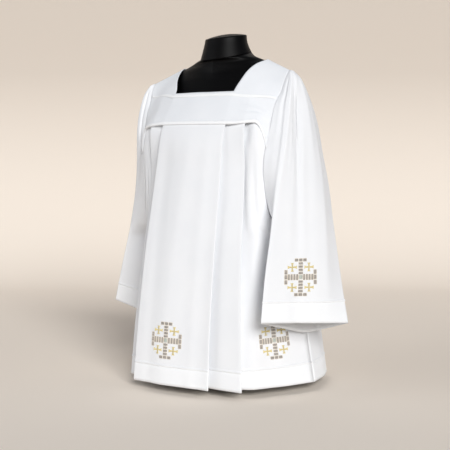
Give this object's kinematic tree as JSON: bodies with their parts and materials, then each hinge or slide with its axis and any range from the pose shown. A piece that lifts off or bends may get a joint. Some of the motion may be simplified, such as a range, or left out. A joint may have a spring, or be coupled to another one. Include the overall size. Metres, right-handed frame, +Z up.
{
  "type": "surplice on a dress form",
  "caption": "White pleated surplice with a square yoke and wide hanging sleeves, worn by a plain black limbless dress form on a post and a round base.",
  "frame": {"origin": "centre of the underside of the round base, on the floor", "axes": "+Z up, -Y the way the wearer faces, +X the wearer's left"},
  "size_m": [0.7408, 0.4654, 0.9424],
  "materials": {
    "yoke": "plain weave, crisp",
    "body": "plain weave, crisp",
    "sleeve": "plain weave, crisp",
    "tape": "fine ribbed tape",
    "form": "smooth matte jersey cover",
    "stand": "satin black"
  },
  "bodies": {
    "root": {"yoke_front": "yoke", "yoke_back": "yoke", "panel_front": "body", "panel_back": "body", "sleeve_left": "sleeve", "sleeve_right": "sleeve", "yoke_tape_upper": "tape", "yoke_tape_lower": "tape", "yoke_tape_back": "tape", "form_torso": "form", "form_neck": "form", "form_post": "stand", "form_base": "stand"}
  },
  "joints": []
}
